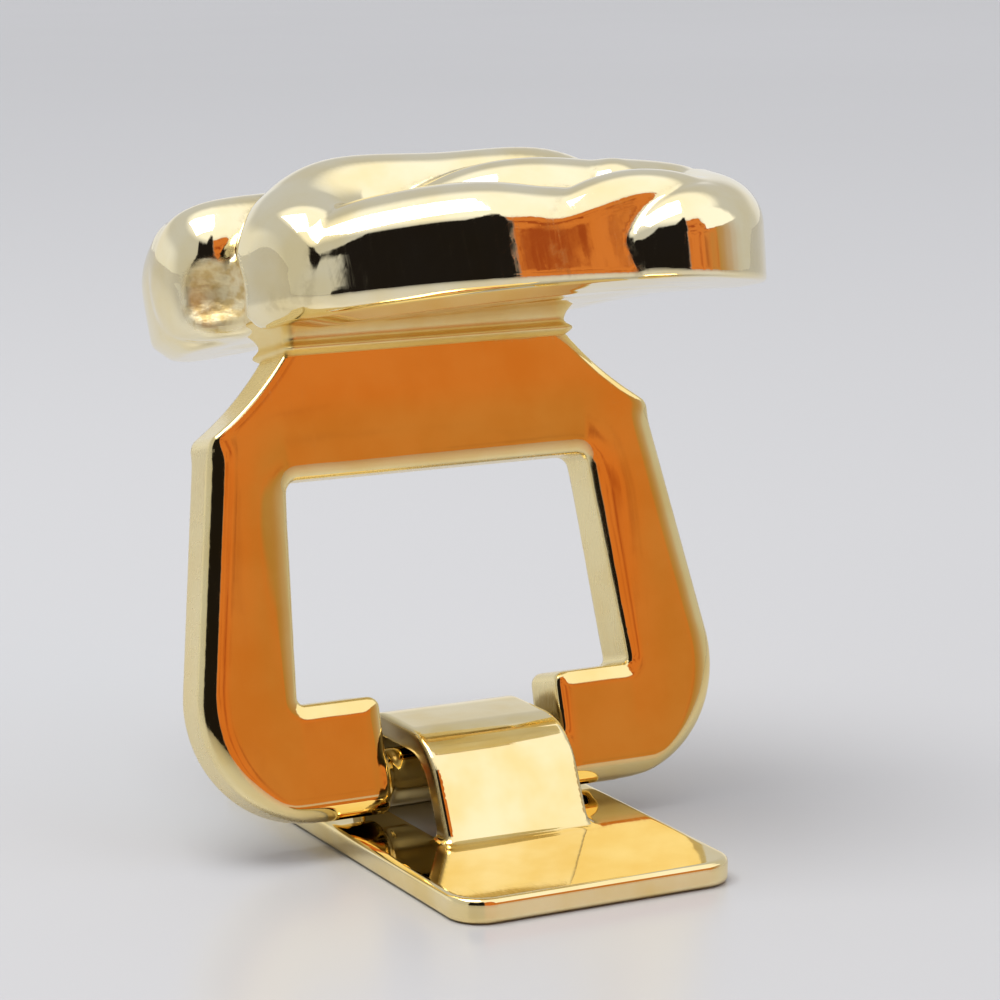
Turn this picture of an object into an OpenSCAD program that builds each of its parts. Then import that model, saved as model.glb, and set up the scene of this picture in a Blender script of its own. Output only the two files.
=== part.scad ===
// Shirt stud with a swivelling back plate, standing on that plate.
// Millimetres. The plate lies flat and the frame leans back from it.
// Origin: middle of the plate's flat underside, below the hinge bar.
// +X runs along the hinge bar, -Y is the front, +Z is up.

/* [Knot] */
// Length of the knot, end to end
knot_l = 11; // [10:0.1:12]
// Width of the knot across its strands
knot_w = 7.1; // [6.4:0.1:8]
// Height of the knot above its seat on the collar
knot_h = 2.95; // [2.6:0.05:3.3]
// Turn of the knot on the frame, right end to the front, in degrees
knot_turn = 32; // [0:1:40]
// Tip of the knot about its length, back edge up, in degrees
knot_tip = 2; // [0:0.5:3]
// How far the knot's middle lies to the right of the frame's middle
knot_x = 0.8; // [0:0.05:1]
// How far the knot's middle lies in front of the frame's middle
knot_y = 0.1; // [0:0.05:1]

/* [Frame] */
// Thickness of the frame's sheet
frame_t = 1.15; // [1:0.05:1.2]
// Width of the neck under the knot
neck_w = 5.35; // [5:0.05:6]
// Height of the neck above the hinge bar's axis
neck_z = 7.4; // [7.2:0.05:8]
// Width across the shoulders
shoulder_w = 8.5; // [8:0.05:8.8]
// Height of the shoulders above the hinge bar's axis
shoulder_z = 5.8; // [5.6:0.05:6]
// Width across the rounded foot corners
foot_w = 9.9; // [9.6:0.05:10.4]
// Radius of the foot corners
foot_r = 2.1; // [1.8:0.05:2.3]
// Depth of the foot below the hinge bar's axis
foot_z = 0.6; // [0.55:0.01:0.62]
// Radius of the foot's lower edges
foot_edge_r = 0.45; // [0.4:0.01:0.5]
// Height of the solder collar between the neck and the knot
collar_h = 0.4; // [0.3:0.05:0.6]
// Lean of the frame from upright, in degrees
lean = 15; // [0:1:30]

/* [Opening in the frame] */
// Width at the top
open_top_w = 5.8; // [5:0.1:6]
// Width at the bottom
open_low_w = 6.4; // [6:0.1:6.8]
// Height of the top edge above the bar's axis
open_top_z = 5.2; // [5:0.05:5.4]
// Height of the lugs above the bar's axis
lug_z = 1.42; // [1.2:0.02:1.6]
// Distance between the two lugs
lug_gap = 3.4; // [3.2:0.05:3.6]

/* [Hinge] */
// Diameter of the bar
bar_d = 1.0; // [0.9:0.02:1.0]
// Clearance between the bar and the strap
bar_gap = 0.05; // [0.03:0.01:0.08]
// Height of the bar's axis above the plate's upper face
bar_z = 0.7; // [0.68:0.01:0.75]

/* [Back plate] */
// Width of the plate, along the hinge bar
plate_w = 5.15; // [4.8:0.05:5.4]
// Length of the plate
plate_l = 9.9; // [9:0.1:10.2]
// Thickness of the plate and its strap
plate_t = 0.42; // [0.35:0.01:0.45]
// Radius of the plate's corners
plate_r = 0.6; // [0.3:0.05:1]
// Width of the raised strap
strap_w = 2.7; // [2.5:0.05:2.8]
// Outer radius of the strap's shoulders
strap_r = 1.2; // [1.1:0.05:1.25]
// Slope of the strap's legs from upright, in degrees
strap_slope = 20; // [15:1:22]

/* [Hidden] */
$fn = 48;
gold = [0.86, 0.66, 0.28];
side_gold = [0.80, 0.68, 0.36];
eps = 0.01;
axis_z = plate_t + bar_z;

// Rows of the strand tables are for a knot 11 long, 7.1 wide and 2.95 high:
// place along the knot, place across it, height of the strand's middle, radius.
table_size = [11, 7.1, 2.95];
// The fat strand along the front
belly = [
    [-1.15, -2.0, 1.1, 1.2],
    [-0.4, -2.15, 1.15, 1.35],
    [0.6, -2.15, 1.1, 1.38],
    [1.7, -2.0, 1.0, 1.28],
    [2.8, -1.6, 0.9, 1.15],
    [3.8, -0.8, 0.9, 1.05],
];
// The strand that crosses over the middle, from the front left to the back right
band = [
    [-2.0, -1.9, 0.6, 1.0],
    [-2.15, -1.4, 1.2, 1.1],
    [-1.65, -0.65, 1.7, 1.15],
    [0, 0, 1.8, 1.1],
    [1.65, 0.65, 1.7, 1.15],
    [2.15, 1.4, 1.2, 1.1],
    [2.0, 1.9, 0.6, 1.0],
];
// The strand that starts thin on the front and grows towards the right end
edge = [
    [0.55, -2.95, 1.6, 0.2],
    [1.3, -2.55, 1.72, 0.5],
    [2.3, -1.95, 1.7, 0.7],
    [3.3, -1.15, 1.55, 0.82],
    [4.25, -0.3, 1.2, 0.85],
];
// The strand folded round the right end to the front
fold = [
    [4.4, 0.3, 1.25, 0.95],
    [4.6, -0.6, 1.05, 0.95],
    [4.45, -1.5, 0.85, 0.95],
    [4.0, -2.2, 0.65, 0.85],
];
// The loop behind the fold, thin where it turns back along the rim
loop = [
    [3.0, -0.2, 1.6, 0.9],
    [4.0, 0.6, 1.4, 0.95],
    [4.5, 0.7, 1.0, 0.9],
    [4.4, 1.0, 0.45, 0.6],
    [3.8, 1.3, 0.25, 0.45],
    [3.2, 1.5, 0.2, 0.4],
];
// The strand between the middle one and the one along the front
inner = [
    [-0.6, -1.0, 1.55, 1.0],
    [0.6, -0.85, 1.7, 1.0],
    [1.8, -0.5, 1.7, 0.98],
    [2.9, 0, 1.5, 0.95],
    [3.7, 0.4, 1.3, 0.9],
];
// Half sizes of the smooth mound under the strands
mound = [4.9, 3.1, 2.3];
// Beads between two rows of a strand; the skin is laid over the beads
beads_a_leg = 4;
// Height of the lower rim at the middle; it falls away over rim_l each way
rim_z = 0.2;
rim_l = 5;
// How much lower the knot gets for each millimetre to the right
fall = 0.015;
// Height from which the skin is drawn, and its rings and spokes
eye_z = 0.3;
rings = 18;
spokes = 80;

// A point between rows i and i + 1 of a strand, on a smooth curve through them
function curve(s, i, t) =
    let(p0 = s[max(i - 1, 0)], p1 = s[i], p2 = s[i + 1], p3 = s[min(i + 2, len(s) - 1)])
    0.5 * (2 * p1 + (p2 - p0) * t + (2 * p0 - 5 * p1 + 4 * p2 - p3) * t * t
        + (3 * p1 - 3 * p2 + p3 - p0) * t * t * t);
function strand_rows(s) = [
    for (i = [0 : len(s) - 2], j = [0 : beads_a_leg - 1]) curve(s, i, j / beads_a_leg),
    s[len(s) - 1],
];
// A strand's beads as [place seen from the eye, radius]; side -1 is its twin,
// which is turned half a turn about the knot's middle
function beads(s, side) = [
    for (row = strand_rows(s)) [[side * row[0], side * row[1], row[2] - eye_z], row[3]],
];
all_beads = concat(
    beads(band, 1),
    beads(inner, 1), beads(inner, -1),
    beads(belly, 1), beads(belly, -1),
    beads(edge, 1), beads(edge, -1),
    beads(fold, 1), beads(fold, -1),
    beads(loop, 1), beads(loop, -1)
);
function sq(v) = v * v;
// How far a ray from the eye runs before it leaves one bead
function bead_reach(dir, bead) =
    let(along = dir * bead[0], inside = sq(along) - bead[0] * bead[0] + sq(bead[1]))
    inside > 0 ? along + sqrt(inside) : 0;
function mound_reach(dir) =
    1 / sqrt(sq(dir[0] / mound[0]) + sq(dir[1] / mound[1]) + sq(dir[2] / (mound[2] - eye_z)));
function reach(dir) = max([mound_reach(dir), for (bead = all_beads) bead_reach(dir, bead)]);
// Rings crowd near the rim, where the skin turns down
function ring_angle(i) = 90 * pow(i / rings, 1.4);
function skin_point(i, j) =
    let(up = ring_angle(i), round = 360 * j / spokes,
        dir = [cos(up) * cos(round), cos(up) * sin(round), sin(up)])
    dir * reach(dir) + [0, 0, eye_z];
function rim_point(p) =
    [0.96 * p[0], 0.96 * p[1], rim_z * max(0, 1 - sq(p[0] / rim_l))];
// The flat seat is made of rings too, at these shares of the widest outline
seat_shares = [0.28, 0.54, 0.8];
// Stretch from the tables' size to the size asked for
function sized(p) = [
    p[0] * knot_l / table_size[0],
    p[1] * knot_w / table_size[1],
    p[2] * knot_h / table_size[2] * (1 - fall * p[0]),
];

// The knot in its own frame: its flat seat lies on z = 0
module knot_solid() {
    widest = [for (j = [0 : spokes - 1]) skin_point(0, j)];
    skin = [for (i = [0 : rings - 1], j = [0 : spokes - 1]) skin_point(i, j)];
    points = concat(
        [for (share = seat_shares, p = widest) [share * p[0], share * p[1], 0]],
        [for (p = widest) rim_point(p)],
        skin,
        [skin_point(rings, 0), [0, 0, 0]]
    );
    rows = len(seat_shares) + 1 + rings;
    top = rows * spokes;
    faces = concat(
        [for (j = [0 : spokes - 1]) [top + 1, j, (j + 1) % spokes]],
        [for (i = [0 : rows - 2], j = [0 : spokes - 1])
            [i * spokes + j, (i + 1) * spokes + j, (i + 1) * spokes + (j + 1) % spokes]],
        [for (i = [0 : rows - 2], j = [0 : spokes - 1])
            [i * spokes + j, (i + 1) * spokes + (j + 1) % spokes, i * spokes + (j + 1) % spokes]],
        [for (j = [0 : spokes - 1])
            [(rows - 1) * spokes + j, top, (rows - 1) * spokes + (j + 1) % spokes]]
    );
    polyhedron([for (p = points) sized(p)], faces, convexity = 4);
}

// Where the straight side from the shoulder meets the foot corner's circle
foot_c = [foot_w / 2 - foot_r, foot_r - foot_z];
tip_r = 0.35;
tip_c = [shoulder_w / 2 - tip_r, shoulder_z];
side_vec = tip_c - foot_c;
side_angle = atan2(side_vec[1], side_vec[0]) - acos((foot_r - tip_r) / norm(side_vec));
function on_circle(c, r, angle) = c + r * [cos(angle), sin(angle)];

// The shallow hollow between the neck and the shoulder
hollow_r = 5.6;
hollow_a = on_circle(tip_c, tip_r, 48);
hollow_b = [neck_w / 2, neck_z];
hollow_run = hollow_b - hollow_a;
hollow_depth = sqrt(sq(hollow_r) - sq(norm(hollow_run) / 2));
hollow_c = (hollow_a + hollow_b) / 2
    + hollow_depth * [hollow_run[1], -hollow_run[0]] / norm(hollow_run);

// Right half of the frame's outline, seen from the front
module frame_half() {
    polygon([
        [-eps, -foot_z], [foot_c[0], -foot_z], foot_c,
        on_circle(foot_c, foot_r, side_angle), on_circle(tip_c, tip_r, side_angle),
        tip_c, hollow_a, hollow_b, [-eps, neck_z],
    ]);
    translate(foot_c) circle(r = foot_r);
    translate(tip_c) circle(r = tip_r);
}

module frame_outline() {
    difference() {
        union() {
            frame_half();
            mirror([1, 0]) frame_half();
        }
        for (side = [0, 1]) mirror([side, 0]) translate(hollow_c) circle(r = hollow_r, $fn = 96);
        polygon([
            [-open_low_w / 2, lug_z], [open_low_w / 2, lug_z],
            [open_top_w / 2, open_top_z], [-open_top_w / 2, open_top_z],
        ]);
        translate([-lug_gap / 2, -foot_z - 1]) square([lug_gap, foot_z + 1 + lug_z + eps]);
    }
}

// The frame is kept inside this shape, which rounds its lower edges
module foot_rounding() {
    wide = foot_w + 2;
    tall = neck_z + collar_h + 2;
    low = foot_edge_r - foot_z;
    inner = frame_t / 2 - foot_edge_r;
    translate([-wide / 2, -frame_t / 2, low]) cube([wide, frame_t, tall]);
    translate([-wide / 2, -inner, -foot_z]) cube([wide, 2 * inner, foot_edge_r + eps]);
    for (side = [-1, 1])
        translate([-wide / 2, side * inner, low]) rotate([0, 90, 0]) cylinder(h = wide, r = foot_edge_r);
}

module frame_sheet() {
    intersection() {
        translate([0, frame_t / 2, 0]) rotate([90, 0, 0]) linear_extrude(frame_t) frame_outline();
        foot_rounding();
    }
    bar_l = lug_gap + 0.6;
    translate([-bar_l / 2, 0, 0]) rotate([0, 90, 0]) cylinder(h = bar_l, d = bar_d);
}

// Step of solder that carries the knot on the frame's neck
module collar() {
    collar_w = neck_w + 0.16;
    collar_d = frame_t + 0.56;
    seat = 0.3;
    translate([-collar_w / 2, -collar_d / 2, neck_z - eps]) cube([collar_w, collar_d, collar_h + seat]);
}

// The knot, its collar, the frame and the hinge bar are soldered into one
module knot_and_frame() {
    color(gold) translate([0, 0, axis_z]) rotate([-lean, 0, 0]) {
        frame_sheet();
        collar();
        translate([knot_x, -knot_y, neck_z + collar_h])
            rotate([0, 0, -knot_turn]) rotate([knot_tip, 0, 0]) knot_solid();
    }
}

// Extrudes a side view, drawn in Y and Z, evenly to both sides of X = 0
module across(w) {
    translate([-w / 2, 0, 0]) rotate([90, 0, 90]) linear_extrude(w) children();
}

// Side view of the strap: round shoulders and sloping legs, filled down
// past the plate; the zero height is the plate's upper face
strap_flat = 0.5;
strap_up = bar_z + bar_d / 2 + bar_gap + plate_t - strap_r;
module strap_side(r) {
    tangent = on_circle([strap_flat, strap_up], r, strap_slope);
    foot_y = tangent[0] + (tangent[1] + plate_t + eps) * tan(strap_slope);
    polygon([
        [-strap_flat, strap_up + r], [strap_flat, strap_up + r], [strap_flat, strap_up],
        tangent, [foot_y, -plate_t - eps], [-foot_y, -plate_t - eps],
        [-tangent[0], tangent[1]], [-strap_flat, strap_up],
    ]);
    for (side = [-1, 1]) translate([side * strap_flat, strap_up]) circle(r = r);
}

module plate_blank() {
    inner_w = plate_w - 2 * plate_r;
    inner_l = plate_l - 2 * plate_r;
    linear_extrude(plate_t) {
        square([inner_w, plate_l], center = true);
        square([plate_w, inner_l], center = true);
        for (x = [-1, 1], y = [-1, 1])
            translate([x * inner_w / 2, y * inner_l / 2]) circle(r = plate_r);
    }
}

// The plate and the strap raised out of it, with the window left below
module back_plate() {
    color(side_gold) {
        difference() {
            plate_blank();
            translate([0, 0, plate_t]) across(strap_w - 0.1) strap_side(strap_r - plate_t);
        }
        difference() {
            translate([0, 0, plate_t]) across(strap_w) strap_side(strap_r);
            translate([0, 0, plate_t]) across(strap_w + 1) strap_side(strap_r - plate_t);
            translate([-plate_w, -plate_l, -1]) cube([2 * plate_w, 2 * plate_l, 1 + plate_t / 2]);
        }
    }
}

knot_and_frame();
back_plate();
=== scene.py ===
"""Shirt stud in polished gold: the knot, its collar, the frame and the back plate."""

import math

import bpy
import numpy as np
from mathutils import Matrix, Vector


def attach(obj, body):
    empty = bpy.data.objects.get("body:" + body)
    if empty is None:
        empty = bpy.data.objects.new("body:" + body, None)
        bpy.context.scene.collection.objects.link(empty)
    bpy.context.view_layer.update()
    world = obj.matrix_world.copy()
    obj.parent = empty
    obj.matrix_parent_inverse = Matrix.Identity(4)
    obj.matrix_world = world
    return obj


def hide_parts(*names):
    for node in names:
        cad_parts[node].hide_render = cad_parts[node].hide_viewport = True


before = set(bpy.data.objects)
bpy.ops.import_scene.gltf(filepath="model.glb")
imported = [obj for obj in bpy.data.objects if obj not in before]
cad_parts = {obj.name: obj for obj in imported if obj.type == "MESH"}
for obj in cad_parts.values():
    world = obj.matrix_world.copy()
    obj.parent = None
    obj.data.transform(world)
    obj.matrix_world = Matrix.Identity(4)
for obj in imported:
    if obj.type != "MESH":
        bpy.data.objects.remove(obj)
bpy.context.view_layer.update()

MM = 0.001

# ---- sizes, in mm; the frame's own axes start at the hinge bar -------------------------
AXIS_Z = 1.12
LEAN = 15
KNOT_PLACE = (0.8, -0.1, 7.8)
KNOT_TURN, KNOT_TIP, KNOT_FALL = 32, 2, 0.015

SHEET_T = 1.15
NECK_W, NECK_Z = 5.35, 7.4
SHOULDER_W, SHOULDER_Z, TIP_R = 8.5, 5.8, 0.35
FOOT_W, FOOT_R, FOOT_Z, FOOT_EDGE_R = 9.9, 2.1, 0.6, 0.45
HOLLOW_R, HOLLOW_ANGLE = 5.6, 48
OPEN_TOP_W, OPEN_LOW_W, OPEN_TOP_Z = 5.8, 6.4, 5.2
LUG_Z, LUG_GAP = 1.42, 3.4
BAR_R, BAR_BLEND = 0.5, 0.2
# How deep and how wide each face rolls off: to the sides, at every edge, to the opening
SIDE_ROLL, EDGE_ROLL, OPENING_ROLL = (0.17, 0.52), (0.04, 0.2), (0.055, 0.32)
# The inner part of each side bar leans to the opening, most at the opening's top
BAR_LEAN, LEAN_START = 0.17, 0.5
LEAN_TOP, LEAN_FULL, LEAN_HEIGHT = 6.6, 4.4, 5.6

# Lip and flare of the collar: how far out, how high, half its height
LIP_OUT, LIP_Z, LIP_HALF = 0.15, 0.01, 0.085
FLARE_START, FLARE_OUT, FLARE_Z, FLARE_HEIGHT = 0.1, 0.42, 0.12, 0.42
COLLAR_LOW, COLLAR_HIGH, COLLAR_R = 0.1, 0.6, 0.2

PLATE_W, PLATE_L, PLATE_T, PLATE_R = 5.15, 9.9, 0.42, 0.6
STRAP_W, STRAP_R, STRAP_FLAT, STRAP_UP, STRAP_SLOPE = 2.7, 1.2, 0.5, 0.47, 25
STRAP_FOOT, SHEET_EDGE_R = 1.6, 0.09

# Strands: place along the knot, place across it, height of the middle, radius
BELLY = [(-1.7, -2.2, 1.0, 1.2), (-0.8, -2.2, 1.15, 1.3), (0.6, -2.2, 1.22, 1.32),
         (1.7, -2.05, 1.12, 1.22), (2.8, -1.5, 1.1, 1.1), (3.8, -0.8, 1.1, 1.0)]
BAND = [(-2.2, -2.15, 0.9, 1.25), (-2.2, -1.5, 1.3, 1.2), (-1.6, -0.65, 1.75, 1.15),
        (0, 0, 1.8, 1.1), (1.6, 0.65, 1.75, 1.15), (2.2, 1.5, 1.3, 1.2), (2.2, 2.15, 0.9, 1.25)]
EDGE = [(0.55, -3.05, 0.75, 0.3), (1.3, -2.85, 0.95, 0.5), (2.3, -2.42, 1.15, 0.72),
        (3.15, -1.95, 1.4, 0.8), (3.8, -1.65, 1.4, 0.8), (4.3, -1.1, 1.2, 0.85)]
FOLD = [(4.4, 0.3, 1.25, 0.95), (4.6, -0.6, 1.05, 0.95), (4.5, -1.5, 0.85, 0.95),
        (4.15, -2.05, 0.75, 0.9), (3.5, -2.42, 0.65, 0.5)]
LOOP = [(3.0, -0.2, 1.6, 0.9), (4.0, 0.6, 1.4, 0.95), (4.5, 0.7, 1.0, 0.9),
        (4.4, 1.0, 0.45, 0.6), (3.8, 1.3, 0.25, 0.45), (3.2, 1.5, 0.2, 0.4)]
INNER = [(0.0, -0.95, 1.45, 0.85), (0.9, -0.8, 1.6, 0.95), (1.8, -0.5, 1.65, 0.95),
         (2.9, 0, 1.5, 0.95), (3.7, 0.4, 1.3, 0.9)]
# Half sizes of the mound under the strands, and where it starts to fall
MOUND = (4.9, 3.1, 2.0)
MOUND_Z = 0.3

# Flats across an end: direction in X and Y, distance from the middle, rounding of its edge
END_CUT = (-0.806, -0.592, 4.62, 0.6)
STRAND_CUT = (-0.64, -0.77, 4.0, 0.25)
# Middle and half sizes of the hollow in the left end; the right end has its twin
HOLLOW, HOLLOW_SIZE = (-3.9, -2.0, 0.75), (0.75, 0.65, 0.7)

# Underside: rise at its middle, fall at the ends; bevel of the rim and its change along X
UNDER_RISE, UNDER_FALL = 0.2, 0.12
BEVEL_W, BEVEL_CHANGE = 0.16, 0.03


# ---- shapes: each takes rows of points and gives their distance, negative inside ---------
def smooth_max(a, b, k):
    """The larger of a and b, rounded over k where they meet."""
    near = np.clip(k - np.abs(a - b), 0, None) / k
    return np.maximum(a, b) + near * near * k / 4


def smooth_min(a, b, k):
    """The smaller of a and b, rounded over k where they meet."""
    return -smooth_max(-a, -b, k)


def ease(low, high, v):
    """0 below low, 1 above high and smooth between."""
    t = np.clip((v - low) / (high - low), 0, 1)
    return t * t * (3 - 2 * t)


def round_both(a, b, r):
    """Inside a and inside b, with their common edge rounded to r."""
    a, b = a + r, b + r
    return np.hypot(np.clip(a, 0, None), np.clip(b, 0, None)) + np.minimum(np.maximum(a, b), 0) - r


def line_distance(x, y, start, end):
    """Distance in a plane from points to a straight line between two points."""
    dx, dy = end[0] - start[0], end[1] - start[1]
    t = np.clip(((x - start[0]) * dx + (y - start[1]) * dy) / (dx * dx + dy * dy), 0, 1)
    return np.hypot(x - start[0] - t * dx, y - start[1] - t * dy)


def path_distance(x, y, points):
    """Distance in a plane to a path of straight lines."""
    return np.min([line_distance(x, y, a, b) for a, b in zip(points[:-1], points[1:])], 0)


def within(x, y, points):
    """Which points of a plane lie inside a closed outline."""
    inside = np.zeros(len(x), bool)
    for start, end in zip(points, points[1:] + points[:1]):
        if start[1] != end[1]:
            crosses = (start[1] > y) != (end[1] > y)
            at = start[0] + (y - start[1]) / (end[1] - start[1]) * (end[0] - start[0])
            inside ^= crosses & (x < at)
    return inside


def arc(centre, r, start, end, count):
    """Points along an arc between two angles in degrees."""
    angles = [math.radians(start + (end - start) * i / count) for i in range(count + 1)]
    return [(centre[0] + r * math.cos(a), centre[1] + r * math.sin(a)) for a in angles]


def rounded_corner(before, corner, after, r, count=6):
    """Points that round one corner of an outline."""
    c = Vector(corner)
    u, v = (Vector(before) - c).normalized(), (Vector(after) - c).normalized()
    half = u.angle(v) / 2
    middle = c + (u + v).normalized() * (r / math.sin(half))
    reach = r / math.tan(half)
    start, end = c + u * reach - middle, c + v * reach - middle
    return [tuple(middle + (start.lerp(end, i / count)).normalized() * r) for i in range(count + 1)]


def frame_edges():
    """The frame's outer edge and the edge of its opening, which is open below for the strap."""
    foot = Vector((FOOT_W / 2 - FOOT_R, FOOT_R - FOOT_Z))
    tip = Vector((SHOULDER_W / 2 - TIP_R, SHOULDER_Z))
    side = tip - foot
    side_angle = math.degrees(math.atan2(side.y, side.x) - math.acos((FOOT_R - TIP_R) / side.length))
    hollow_start = Vector(arc(tip, TIP_R, HOLLOW_ANGLE, HOLLOW_ANGLE, 1)[0])
    hollow_end = Vector((NECK_W / 2, NECK_Z))
    run = hollow_end - hollow_start
    depth = math.sqrt(HOLLOW_R ** 2 - (run.length / 2) ** 2)
    hollow = (hollow_start + hollow_end) / 2 + depth * Vector((run.y, -run.x)) / run.length
    a0, a1 = (math.degrees(math.atan2(p.y - hollow.y, p.x - hollow.x))
              for p in (hollow_start, hollow_end))
    right = arc(foot, FOOT_R, -90, side_angle, 28)
    right += arc(tip, TIP_R, side_angle, HOLLOW_ANGLE, 8)
    right += arc(hollow, HOLLOW_R, a0, a1, 16)[1:]
    right += [(NECK_W / 2, NECK_Z + 0.35)]
    slot, low, top = LUG_GAP / 2, OPEN_LOW_W / 2, OPEN_TOP_W / 2
    opening = [(slot, -FOOT_Z)]
    opening += rounded_corner((slot, -FOOT_Z), (slot, LUG_Z), (low, LUG_Z), 0.2)
    opening += rounded_corner((slot, LUG_Z), (low, LUG_Z), (top, OPEN_TOP_Z), 0.12)
    opening += rounded_corner((low, LUG_Z), (top, OPEN_TOP_Z), (-top, OPEN_TOP_Z), 0.22)
    left = [(-x, y) for x, y in right[::-1]]
    opening_left = [(-x, y) for x, y in opening]
    return right + left, opening_left + opening[::-1]


OUTER_EDGE, OPENING_EDGE = frame_edges()


def frame_insets(p):
    """How far points lie inside the frame's outer edge and inside the edge of its opening."""
    x, z = p[:, 0], p[:, 2]
    sign = np.where(within(x, z, OUTER_EDGE + OPENING_EDGE), 1, -1)
    return sign * path_distance(x, z, OUTER_EDGE), sign * path_distance(x, z, OPENING_EDGE)


# The right half of the outer edge, which gives the frame's half width at each height
HALF_WIDTHS = np.array(OUTER_EDGE[:len(OUTER_EDGE) // 2])


def roll(inset, size):
    """Fall of a face that rolls off to an edge: deepest at the edge, none at its width."""
    depth, width = size
    return depth * np.clip(1 - inset / width, 0, 1) ** 2


def face_drop(p, outer, inner):
    """How far each face of the frame has rolled off to its sides, edges and opening."""
    x, z = np.abs(p[:, 0]), p[:, 2]
    outwards = np.interp(z, HALF_WIDTHS[:, 1], HALF_WIDTHS[:, 0]) - x
    drop = roll(outwards, SIDE_ROLL) * ease(SHOULDER_Z + 0.4, SHOULDER_Z - 0.2, z)
    drop = drop + roll(outer, EDGE_ROLL) + roll(inner, OPENING_ROLL)
    opening = np.interp(z, (LUG_Z, OPEN_TOP_Z), (OPEN_LOW_W / 2, OPEN_TOP_W / 2))
    inwards = np.clip(1 + opening - x, 0, 1)
    lean = BAR_LEAN * ease(LEAN_TOP, LEAN_FULL, z)
    lean = lean * np.clip((z + FOOT_Z) / LEAN_HEIGHT, 0, 1)
    return drop + lean * np.where(inwards < LEAN_START, inwards ** 2, inwards - LEAN_START ** 2)


def frame_shape(p):
    """Sheet with faces that roll off to a crisp edge, a round foot and the hinge bar."""
    y, z = np.abs(p[:, 1]), p[:, 2]
    outer, inner = frame_insets(p)
    drop = face_drop(p, outer, inner)
    edge = np.where(np.abs(outer) < np.abs(inner), outer, inner)
    sheet = smooth_max(-edge, y - (SHEET_T / 2 - drop), 0.07)
    foot = round_both(y - SHEET_T / 2, -FOOT_Z - z, FOOT_EDGE_R)
    sheet = smooth_max(sheet, foot, 0.05)
    bar = round_both(np.hypot(p[:, 1], z) - BAR_R, np.abs(p[:, 0]) - LUG_GAP / 2 - 0.05, 0.05)
    return smooth_min(sheet, bar, BAR_BLEND)


def collar_shape(p):
    """Solder collar: a round lip on the neck, a groove, and a flare under the knot."""
    z = p[:, 2] - NECK_Z
    lip = LIP_OUT * np.exp(-((z - LIP_Z) / LIP_HALF) ** 2)
    flare = FLARE_START + FLARE_OUT * np.clip((z - FLARE_Z) / FLARE_HEIGHT, 0, 1.3) ** 2
    spread = lip + flare
    across = np.abs(p[:, 1]) - SHEET_T / 2 - spread
    along = np.abs(p[:, 0]) - NECK_W / 2 + 0.02 - 0.55 * spread
    side = round_both(across, along, COLLAR_R)
    return smooth_max(side, smooth_max(-z - COLLAR_LOW, z - COLLAR_HIGH, 0.05), 0.08)


STEPS = 12      # legs between two rows of a strand
FAR = 1e9       # farther than any point lies from a shape


def strand_path(rows, side):
    """Points along a strand on a smooth curve through its rows; side -1 gives its twin."""
    rows = np.array(rows, float)
    rows[:, :2] *= side
    path = []
    for i in range(len(rows) - 1):
        p0, p1, p2 = rows[max(i - 1, 0)], rows[i], rows[i + 1]
        p3 = rows[min(i + 2, len(rows) - 1)]
        for t in np.arange(STEPS) / STEPS:
            path.append(0.5 * (2 * p1 + (p2 - p0) * t + (2 * p0 - 5 * p1 + 4 * p2 - p3) * t * t
                               + (3 * p1 - 3 * p2 + p3 - p0) * t ** 3))
    return np.array(path + [rows[-1]])


# Rows of a strand, its form and whether its end is dressed off. The form is how flat its
# top is and how much it widens below its middle; None is a round strand.
SINGLE = [(BAND, (1.0, 0.1), True)]
PAIRED = [(INNER, None, False), (BELLY, (1.45, 0.17), True), (EDGE, (1.2, 0.15), False),
          (FOLD, (1.0, -0.05), False), (LOOP, None, False)]
STRANDS = [(strand_path(rows, 1), form, dressed) for rows, form, dressed in SINGLE]
STRANDS += [(strand_path(rows, side), form, dressed)
            for rows, form, dressed in PAIRED for side in (1, -1)]


def leg_distance(p, a, b, form):
    """Distance to one straight, tapered leg of a strand."""
    run = b[:3] - a[:3]
    off = p - a[:3]
    t = np.clip(off @ run / (run @ run), 0, 1)
    off -= t[:, None] * run
    radius = a[3] + t * (b[3] - a[3])
    if form is None:
        return np.sqrt((off ** 2).sum(1)) - radius
    flat, flare = form
    below = np.clip(-off[:, 2], 0, None)
    rise = flat * np.clip(off[:, 2], 0, None) + 0.15 * below
    return np.sqrt(off[:, 0] ** 2 + off[:, 1] ** 2 + rise ** 2) - radius - flare * below


def dress_off(shape, p, cut):
    """Files a shape flat across both of its ends."""
    along = p[:, 0] * cut[0] + p[:, 1] * cut[1]
    return smooth_max(shape, np.abs(along) - cut[2], cut[3])


def mound_distance(p):
    """Distance to the smooth mound under the strands."""
    up = np.clip(p[:, 2] - MOUND_Z, 0, None)
    size = np.sqrt((p[:, 0] / MOUND[0]) ** 2 + (p[:, 1] / MOUND[1]) ** 2 + (up / MOUND[2]) ** 2)
    return (size - 1) * MOUND[2]


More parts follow.
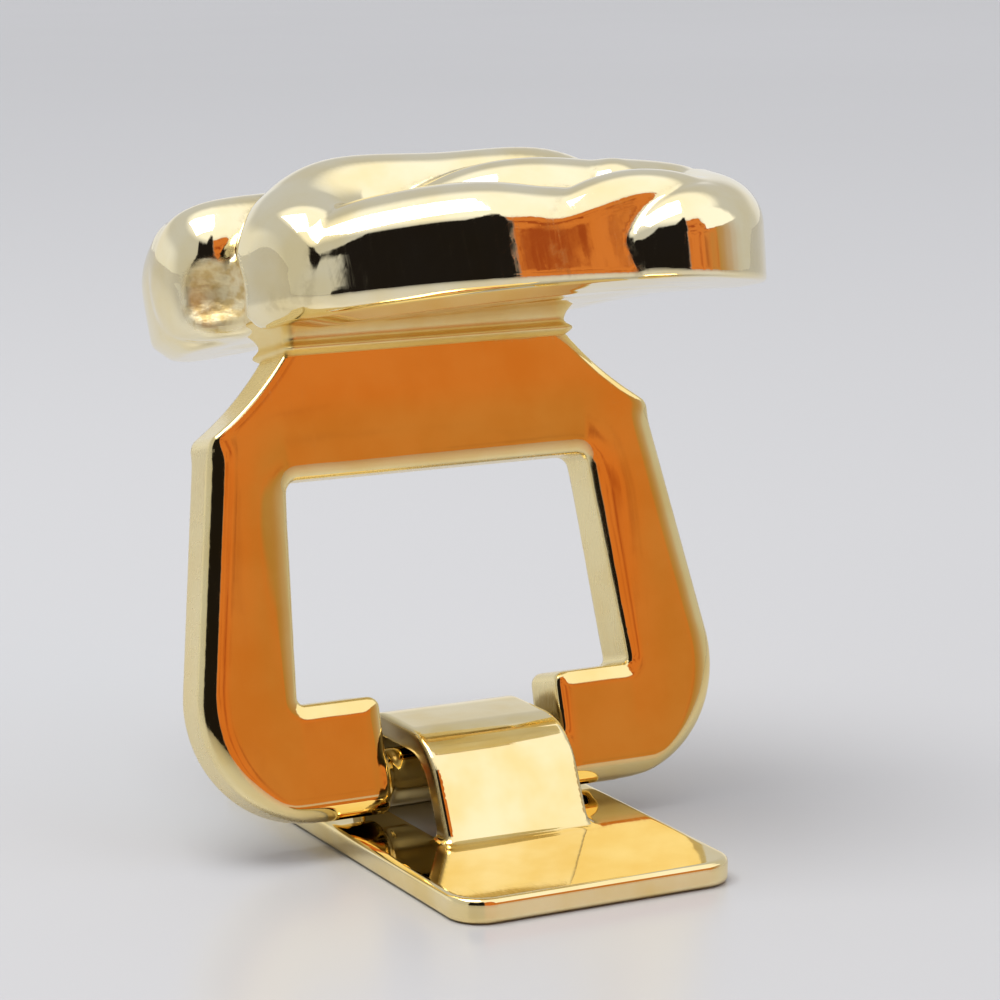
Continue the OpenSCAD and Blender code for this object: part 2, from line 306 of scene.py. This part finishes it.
def strands_shape(p, k=0.07):
    """All strands laid together over a low mound; only near legs are worked out finely."""
    shape = mound_distance(p)
    rough = [[leg_distance(p, path[i], path[i + STEPS], form)
              for i in range(0, len(path) - 1, STEPS)] for path, form, _ in STRANDS]
    nearest = np.minimum(shape, np.min([np.min(legs, 0) for legs in rough], 0)) + 0.35 + k
    for (path, form, dressed), legs in zip(STRANDS, rough):
        value = np.min(legs, 0) + 0.1
        fine = np.full(len(p), FAR)
        for i, leg in enumerate(legs):
            near = np.flatnonzero(leg < nearest)
            spots = p[near]
            for j in range(i * STEPS, (i + 1) * STEPS):
                step = leg_distance(spots, path[j], path[j + 1], form)
                fine[near] = np.minimum(fine[near], step)
        strand = np.where(fine < FAR, fine, value)
        if dressed:
            strand = dress_off(strand, p, STRAND_CUT)
        shape = smooth_min(shape, strand, k)
    return shape


def hollow_distance(p, side):
    """Distance to the hollow in one end, negative inside it."""
    off = (p - np.array(HOLLOW) * (side, side, 1)) / HOLLOW_SIZE
    return (np.sqrt((off ** 2).sum(1)) - 1) * min(HOLLOW_SIZE)


def knot_shape(p):
    """The knot in its own axes, with a bevelled rim over a shallow underside."""
    p = np.column_stack([p[:, 0], p[:, 1], p[:, 2] / (1 - KNOT_FALL * p[:, 0])])
    x, z = p[:, 0], p[:, 2]
    shape = strands_shape(p)
    shape = dress_off(shape, p, END_CUT)
    for side in (1, -1):
        shape = smooth_max(shape, -hollow_distance(p, side), 0.15)
    rise = UNDER_RISE * np.clip(1 - (x / 5) ** 2, 0, 1) * np.clip(1 + shape, 0, 1)
    under = rise - UNDER_FALL * (x / 5.2) ** 4 - z
    bevel_w = BEVEL_W - BEVEL_CHANGE * x
    bevel = (shape + under + bevel_w) / math.sqrt(2)
    return smooth_max(smooth_max(shape, bevel, 0.07), under, 0.1)


def strap_line():
    """Middle line of half the strap, seen from the side, above the plate's face."""
    r = STRAP_R - PLATE_T / 2
    points = [(0, STRAP_UP + r)] + arc((STRAP_FLAT, STRAP_UP), r, 90, STRAP_SLOPE, 12)
    y, z = points[-1]
    fall = z + PLATE_T / 2
    return points + [(y + fall * math.tan(math.radians(STRAP_SLOPE)), -PLATE_T / 2)]


STRAP_LINE = strap_line()


def plate_shape(p):
    """Thin plate with rounded corners, a window, and the strap raised over the window."""
    x, y, z = np.abs(p[:, 0]), np.abs(p[:, 1]), p[:, 2]
    outline = round_both(x - PLATE_W / 2, y - PLATE_L / 2, PLATE_R)
    sheet = round_both(outline, np.abs(z - PLATE_T / 2) - PLATE_T / 2, SHEET_EDGE_R)
    slope = math.tan(math.radians(STRAP_SLOPE))
    window = smooth_max(x - STRAP_W / 2 + 0.05, y - STRAP_FOOT - (PLATE_T - z) * slope, 0.2)
    sheet = smooth_max(sheet, -window, 0.08)
    middle = np.full(len(p), FAR)
    for start, end in zip(STRAP_LINE[:-1], STRAP_LINE[1:]):
        middle = np.minimum(middle, line_distance(y, z - PLATE_T, start, end))
    strap = round_both(middle - PLATE_T / 2, x - STRAP_W / 2, SHEET_EDGE_R)
    return smooth_max(smooth_min(sheet, strap, 0.2), -z, 0.03)


# ---- laying a skin over a shape --------------------------------------------------------
CORNERS = [(i, j, k) for i in (0, 1) for j in (0, 1) for k in (0, 1)]
CELL_EDGES = [(a, b) for a in CORNERS for b in CORNERS if sum(b) - sum(a) == 1
              and all(q >= p for p, q in zip(a, b))]


def sample(shape, low, counts, pitch, block=4):
    """Values of a shape on a grid; only blocks near the surface are worked out finely."""
    blocks = np.stack(np.meshgrid(*(np.arange(n // block) for n in counts), indexing="ij"), -1)
    middles = low + pitch * (block * blocks.reshape(-1, 3) + (block - 1) / 2)
    coarse = shape(middles).reshape(blocks.shape[:3])
    values = coarse
    for axis in range(3):
        values = np.repeat(values, block, axis)
    near = np.abs(values) < pitch * block * 1.25
    spots = np.argwhere(near)
    values = np.where(values < 0, -1.0, 1.0)
    values[near] = shape(low + pitch * spots)
    return values


def draw_onto(shape, points, longest, rounds=3, h=0.004):
    """Moves points along the slope of a shape until they lie on its surface."""
    for _ in range(rounds):
        value = shape(points)
        slope = np.column_stack([(shape(points + h * step) - value) / h for step in np.eye(3)])
        move = value[:, None] * slope / np.clip((slope ** 2).sum(1), 0.2, None)[:, None]
        length = np.linalg.norm(move, axis=1)[:, None]
        points = points - move * np.minimum(1, longest / np.clip(length, 1e-9, None))
    return points


def relax(points, quads):
    """Each point moves half way to the middle of its neighbours."""
    total, count = np.zeros_like(points), np.zeros(len(points))
    for i in range(4):
        for j in (i - 1, (i + 1) % 4):
            np.add.at(total, quads[:, i], points[quads[:, j]])
            np.add.at(count, quads[:, i], 1)
    return 0.5 * points + 0.5 * total / count[:, None]


def skin(shape, low, high, pitch):
    """Closed skin of four-sided faces where a shape is zero."""
    low = np.array(low, float) - 2 * pitch
    counts = [4 * math.ceil((h - l + 2 * pitch) / pitch / 4) for l, h in zip(low, high)]
    values = sample(shape, low, counts, pitch)
    inside = values < 0
    corner = {c: inside[tuple(slice(o, n - 1 + o) for o, n in zip(c, counts))] for c in CORNERS}
    filled = sum(v.astype(int) for v in corner.values())
    cells = np.argwhere((filled > 0) & (filled < 8))
    total, count = np.zeros((len(cells), 3)), np.zeros(len(cells))
    for a, b in CELL_EDGES:
        va, vb = values[tuple((cells + a).T)], values[tuple((cells + b).T)]
        crossed = (va < 0) != (vb < 0)
        t = np.where(crossed, va / np.where(crossed, va - vb, 1), 0)
        total += crossed[:, None] * (np.array(a) + t[:, None] * (np.array(b) - a))
        count += crossed
    points = low + pitch * (cells + total / count[:, None])
    number = np.full([n - 1 for n in counts], -1)
    number[tuple(cells.T)] = np.arange(len(cells))
    quads = []
    for axis in range(3):
        step = np.eye(3, dtype=int)[axis]
        u, v = np.eye(3, dtype=int)[(axis + 1) % 3], np.eye(3, dtype=int)[(axis + 2) % 3]
        ends = tuple(slice(s, None) for s in step)
        starts = tuple(slice(0, -1) if s else slice(None) for s in step)
        leaves = inside[starts] & ~inside[ends]
        enters = ~inside[starts] & inside[ends]
        for change, order in ((leaves, (0, 1, 2, 3)), (enters, (3, 2, 1, 0))):
            at = np.argwhere(change)
            ring = [at - u - v, at - v, at, at - u]
            quads.append(np.column_stack([number[tuple(ring[i].T)] for i in order]))
    quads = np.concatenate(quads)
    points = draw_onto(shape, points, pitch / 2, 1)
    points = draw_onto(shape, relax(points, quads), pitch / 2)
    return points, quads


def add_piece(name, points, quads, place, finish, marks=None):
    """A finished piece in metres, at the origin, smooth, with its measured marks."""
    mesh = bpy.data.meshes.new(name)
    mesh.from_pydata(points.tolist(), [], quads.tolist())
    mesh.shade_smooth()
    for mark, values in (marks or {}).items():
        mesh.attributes.new(mark, "FLOAT", "POINT").data.foreach_set("value", values.astype(np.float32))
    mesh.transform(Matrix.Scale(MM, 4) @ place)
    mesh.materials.append(finish)
    piece = bpy.data.objects.new(name, mesh)
    bpy.context.scene.collection.objects.link(piece)
    return piece


# ---- shader trees ------------------------------------------------------------------------
class Wire:
    """One output of a node; Python's arithmetic on it adds Math nodes."""

    def __init__(self, bench, socket):
        self.bench, self.socket = bench, socket

    def math(self, operation, *values):
        return self.bench.node("ShaderNodeMath", {"operation": operation}, dict(enumerate(values)))

    def __add__(self, other):
        return self.math("ADD", self, other)

    __radd__ = __add__

    def __sub__(self, other):
        return self.math("SUBTRACT", self, other)

    def __rsub__(self, other):
        return self.math("SUBTRACT", other, self)

    def __mul__(self, other):
        return self.math("MULTIPLY", self, other)

    __rmul__ = __mul__

    def larger(self, other):
        return self.math("MAXIMUM", self, other)

    def step(self, low, high):
        """0 below low, 1 above high, smooth between."""
        return self.bench.node("ShaderNodeMapRange", {"interpolation_type": "SMOOTHSTEP"},
                               {"Value": self, "From Min": low, "From Max": high})


class Bench:
    """Makes the nodes of one shader tree."""

    def __init__(self, tree):
        self.tree = tree
        tree.nodes.clear()

    def node(self, kind, settings=None, sockets=None, out=0):
        """Adds a node, sets it up, fills or links its sockets and gives one output."""
        made = self.tree.nodes.new(kind)
        for key, value in (settings or {}).items():
            setattr(made, key, value)
        for key, value in (sockets or {}).items():
            if isinstance(value, Wire):
                self.tree.links.new(value.socket, made.inputs[key])
            else:
                made.inputs[key].default_value = value
        return Wire(self, made.outputs[out]) if made.outputs else None

    def blend(self, share, first, second):
        """Colour between two colours."""
        first, second = ((*c, 1) if isinstance(c, tuple) else c for c in (first, second))
        return self.node("ShaderNodeMix", {"data_type": "RGBA"},
                         {"Factor": share, 6: first, 7: second}, out=2)

    def place(self, size=(1, 1, 1), turn=(0, 0, 0)):
        """Object coordinates in mm, squeezed and turned."""
        spot = self.node("ShaderNodeTexCoord", out="Object")
        return self.node("ShaderNodeMapping", {}, {
            "Vector": spot, "Rotation": tuple(math.radians(a) for a in turn),
            "Scale": tuple(s / MM for s in size)})

    def noise(self, where, scale, detail=2.0):
        return self.node("ShaderNodeTexNoise", {},
                         {"Vector": where, "Scale": scale, "Detail": detail}, out="Fac")

    def mark(self, name):
        return self.node("ShaderNodeAttribute", {"attribute_name": name}, out="Fac")


# Lighter and deeper tone of each piece's gold
FRAME_GOLD = ((0.94, 0.77, 0.38), (0.90, 0.68, 0.27))
KNOT_GOLD = ((0.95, 0.86, 0.60), (0.92, 0.78, 0.44))
PLATE_GOLD = ((0.95, 0.81, 0.48), (0.90, 0.70, 0.30))
# Pale tone of tool marks, olive of the hollows, and a dark brown that is grime in the grooves and
# painted shade on the strap's sides
TOOLED, OLIVE, GRIME_AND_SHADE = (0.88, 0.80, 0.52), (0.66, 0.45, 0.13), (0.16, 0.10, 0.03)


def wall_look(bench, where, colour, rough, height):
    """Fine tool marks along the walls of the sheet."""
    wall = bench.mark("wall")
    tooled = bench.noise(bench.place((0.7, 14, 2.2)), 1.0, 3)
    return (bench.blend(wall * 0.35, colour, TOOLED), rough + wall * (0.16 + 0.1 * tooled),
            height + wall * tooled * 0.0016)


def groove_look(bench, where, colour, rough, height):
    """Duller, pitted grooves, and the faint unevenness of a casting all over."""
    groove = bench.mark("groove")
    pits, cast = bench.noise(where, 6.0, 3), bench.noise(where, 2.2, 3)
    worn = groove * pits.step(0.38, 0.62)
    return (bench.blend(worn * 0.35, colour, GRIME_AND_SHADE), rough + 0.2 * worn + 0.05 * groove,
            height + groove * pits * 0.001 + cast * 0.0012)


def shaded_cut_look(bench, where, colour, rough, height):
    """Sides of the strap, darkened with painted shade and made duller."""
    cut = bench.mark("cut")
    # Painted shade: the strap's cut sides are blended towards dark brown
    return bench.blend(cut * 0.8, colour, GRIME_AND_SHADE), rough + 0.25 * cut, height


def hollow_look(bench, where, colour, rough, height):
    """Crumpled, olive surface inside a hollow."""
    hollow = bench.mark("hollow")
    crumple = bench.noise(where, 5.0, 2)
    creases = bench.noise(bench.place((3, 3, 9), (0, 25, -20)), 1.0, 2)
    share = hollow * (1 - crumple.step(0.3, 0.62)) * 0.7
    return (bench.blend(share, colour, OLIVE), rough + 0.5 * hollow,
            height + hollow * (crumple * 0.02 + creases * 0.015))


LOOKS = {"wall": wall_look, "groove": groove_look, "cut": shaded_cut_look, "hollow": hollow_look}


def polished_gold(name, tones, marks=(), wave=0.0016, dull=0.0):
    """Hand-polished gold with wipe marks, uneven by wave mm, and the looks of its marks."""
    material = bpy.data.materials.new(name)
    material.use_nodes = True
    bench = Bench(material.node_tree)
    where = bench.place()
    cloud = bench.noise(where, 0.9, 3)
    ripple = bench.noise(where, 0.55, 2)
    wipe_a = bench.noise(bench.place((26, 1.3, 1.3), (10, 20, 35)), 1.0, 2)
    wipe_b = bench.noise(bench.place((1.1, 30, 1.1), (30, 15, -25)), 1.0, 2)
    colour = bench.blend(cloud.step(0.3, 0.75), *tones)
    rough = 0.035 + dull + 0.07 * wipe_a.step(0.45, 0.8) + 0.05 * wipe_b.step(0.5, 0.85)
    height = ripple * wave + wipe_a * 0.00012 + wipe_b * 0.0001
    for mark in marks:
        colour, rough, height = LOOKS[mark](bench, where, colour, rough, height)
    bump = bench.node("ShaderNodeBump", {}, {"Strength": 1.0, "Distance": MM, "Height": height})
    shader = bench.node("ShaderNodeBsdfPrincipled", {}, {
        "Base Color": colour, "Metallic": 1.0, "Roughness": rough, "Normal": bump})
    bench.node("ShaderNodeOutputMaterial", {}, {"Surface": shader})
    return material


# ---- pieces --------------------------------------------------------------------------------
def turn(degrees, axis):
    """Turn about one axis."""
    return Matrix.Rotation(math.radians(degrees), 4, axis)


FRAME_PLACE = Matrix.Translation((0, 0, AXIS_Z)) @ turn(-LEAN, "X")
KNOT_IN_FRAME = Matrix.Translation(KNOT_PLACE) @ turn(-KNOT_TURN, "Z") @ turn(KNOT_TIP, "X")


def make_knot():
    """The cast knot with duller grooves between its strands."""
    points, quads = skin(knot_shape, (-5.7, -4.0, -0.3), (5.7, 4.0, 3.2), 0.055)
    loose = strands_shape(points, 0.02)
    laid = strands_shape(points, 0.45)
    groove = ease(0.09, 0.13, loose - laid) * ease(-0.1, -0.03, loose)
    hollow = np.maximum(*(ease(0.22, 0.02, hollow_distance(points, side)) for side in (1, -1)))
    gold = polished_gold("knot_gold", KNOT_GOLD, ("groove", "hollow"), 0.009)
    return add_piece("knot", points, quads, FRAME_PLACE @ KNOT_IN_FRAME, gold,
                     {"groove": groove, "hollow": hollow})


def make_collar():
    """The solder collar between the neck and the knot."""
    points, quads = skin(collar_shape, (-3.2, -1.3, 7.2), (3.2, 1.3, 8.1), 0.045)
    gold = polished_gold("collar_gold", FRAME_GOLD, (), 0.004, 0.35)
    return add_piece("collar", points, quads, FRAME_PLACE, gold)


def make_frame():
    """The sheet frame with its bar; the walls of its outline carry tool marks."""
    points, quads = skin(frame_shape, (-5.1, -0.7, -0.7), (5.1, 0.7, 7.9), 0.055)
    wall = ease(0.1, 0.03, np.abs(frame_insets(points)).min(0))
    wall = wall * ease(0.5, 0.44, np.abs(points[:, 1]))
    gold = polished_gold("frame_gold", FRAME_GOLD, ("wall",), 0.012)
    return add_piece("frame", points, quads, FRAME_PLACE, gold, {"wall": wall})


def make_back_plate():
    """The mirror-polished plate with its raised strap."""
    points, quads = skin(plate_shape, (-2.6, -5.0, 0), (2.6, 5.0, 2.15), 0.05)
    out = np.abs(points[:, 0]) - STRAP_W / 2
    # Mask of the strap's side walls above the plate, where painted shade darkens the gold
    cut = ease(-0.05, -0.01, out) * ease(0.46, 0.52, points[:, 2]) * ease(0.05, 0.02, out)
    gold = polished_gold("plate_gold", PLATE_GOLD, ("cut",), 0.008)
    return add_piece("plate_and_strap", points, quads, Matrix(), gold, {"cut": cut})


# ---- floor, light and camera ---------------------------------------------------------------
def make_floor():
    """Plain pale floor with a soft sheen."""
    material = bpy.data.materials.new("pale_floor")
    material.use_nodes = True
    bench = Bench(material.node_tree)
    drift = bench.noise(bench.place(), 0.02, 2)
    colour = bench.blend(drift, (0.49, 0.50, 0.525), (0.53, 0.54, 0.56))
    shader = bench.node("ShaderNodeBsdfPrincipled", {}, {
        "Base Color": colour, "Roughness": 0.22 + 0.06 * drift, "Specular IOR Level": 0.45})
    bench.node("ShaderNodeOutputMaterial", {}, {"Surface": shader})
    mesh = bpy.data.meshes.new("floor")
    half = 1.5
    corners = [(-half, -half, 0), (half, -half, 0), (half, half, 0), (-half, half, 0)]
    mesh.from_pydata(corners, [], [(0, 1, 2, 3)])
    mesh.materials.append(material)
    floor = bpy.data.objects.new("floor", mesh)
    bpy.context.scene.collection.objects.link(floor)


# Edges of each patch of the surroundings: angles from the front in radians, then heights
DARK_LEFT, DARK_RIGHT, WARM_FADE = (-1.12, -1.06), (-0.22, -0.17), (0.6, 1.5)
WINDOW_LEFT, WINDOW_RIGHT = (0.33, 0.42), (1.3, 1.6)
DARK_TOP, WARM_TOP = (0.68, 0.74), (0.765, 0.79)
WINDOW_FOOT, CEILING_FOOT = (0.37, 0.40), (0.68, 0.86)

PALE_SKY, BRIGHT_SKY, BACK_SKY = (0.58, 0.59, 0.62), (1.12, 1.12, 1.12), (0.82, 0.83, 0.86)
WARM, WARM_DEEP, TAN = (0.68, 0.21, 0.045), (0.36, 0.07, 0.015), (0.46, 0.25, 0.07)
DARK = (0.012, 0.010, 0.010)
BACKDROP = (0.76, 0.77, 0.80)


def make_surroundings():
    """Pale studio with a bright ceiling and window, a dark patch and a warm one in front."""
    world = bpy.data.worlds.new("studio")
    world.use_nodes = True
    bpy.context.scene.world = world
    bench = Bench(world.node_tree)
    way = bench.node("ShaderNodeTexCoord", out="Generated")
    split = bench.node("ShaderNodeSeparateXYZ", {}, {"Vector": way})
    x, y, z = (Wire(bench, split.socket.node.outputs[i]) for i in range(3))
    wobble = bench.noise(way, 5.0, 3) - 0.5
    height = z + wobble * 0.08
    side = x.math("ARCTAN2", x, 0 - y) + wobble * 0.12
    front = (0 - y).step(0.05, 0.2)

    low = 1 - (height - 0.16 * side.step(-0.6, -0.3)).step(*DARK_TOP)
    dark = side.step(*DARK_LEFT) * (1 - side.step(*DARK_RIGHT)) * low * front
    lower = 1 - (height + 0.40 * side.step(*WINDOW_LEFT)).step(*WARM_TOP)
    warm = side.step(*DARK_RIGHT) * (1 - side.step(*WARM_FADE)) * lower * front
    window = side.step(*WINDOW_LEFT) * (1 - side.step(*WINDOW_RIGHT)) * height.step(*WINDOW_FOOT)
    bright = z.step(*CEILING_FOOT).larger(window * front)
    back = y.step(0.3, 0.7) * (1 - z.step(0.15, 0.35))

    streak = bench.noise(way, 8.0, 3).step(0.5, 0.75)
    patches = bench.noise(way, 3.0, 1).step(0.35, 0.65)
    tan = (patches * side.step(0.2, 0.6) * 0.7).larger(side.step(0.56, 0.7))
    warm_tone = bench.blend(tan, bench.blend(streak, WARM, WARM_DEEP), TAN)

    sky = bench.blend(bright, PALE_SKY, BRIGHT_SKY)
    sky = bench.blend(back, sky, BACK_SKY)
    sky = bench.blend(warm, sky, warm_tone)
    sky = bench.blend(dark, sky, DARK)
    seen = bench.node("ShaderNodeLightPath", out="Is Camera Ray")
    sky = bench.blend(seen, sky, BACKDROP)
    background = bench.node("ShaderNodeBackground", {}, {"Color": sky, "Strength": 1.0})
    bench.node("ShaderNodeOutputWorld", {}, {"Surface": background})


def make_light(name, spot, aim, size, power, colour):
    """Soft square lamp in mm."""
    lamp = bpy.data.lights.new(name, "AREA")
    lamp.shape, lamp.size, lamp.energy, lamp.color = "SQUARE", size * MM, power, colour
    thing = bpy.data.objects.new(name, lamp)
    thing.location = Vector(spot) * MM
    thing.rotation_mode = "QUATERNION"
    thing.rotation_quaternion = (Vector(aim) - Vector(spot)).to_track_quat("-Z", "Y")
    bpy.context.scene.collection.objects.link(thing)


def make_camera():
    """Camera at the photograph's place, long lens."""
    data = bpy.data.cameras.new("camera")
    data.sensor_width, data.lens = 36, 122.87
    data.clip_start, data.clip_end = 0.002, 10
    camera = bpy.data.objects.new("camera", data)
    camera.location = Vector((-26.118, -50.860, 17.159)) * MM
    camera.rotation_mode = "QUATERNION"
    camera.rotation_quaternion = Vector((0.45726, 0.86781, -0.19445)).to_track_quat("-Z", "Y")
    bpy.context.scene.collection.objects.link(camera)
    bpy.context.scene.camera = camera


bpy.context.scene.view_settings.view_transform = "Standard"
make_camera()
make_floor()
make_surroundings()
make_light("lamp_over", (-30, 10, 110), (0, 0, 6), 70, 0.09, (1.0, 0.98, 0.95))

for piece, body, node in (
        (make_knot(), "stud", "knot_and_frame"),
        (make_collar(), "stud", "knot_and_frame"),
        (make_frame(), "stud", "knot_and_frame"),
        (make_back_plate(), "backing", "back_plate")):
    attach(piece, body)
    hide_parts(node)
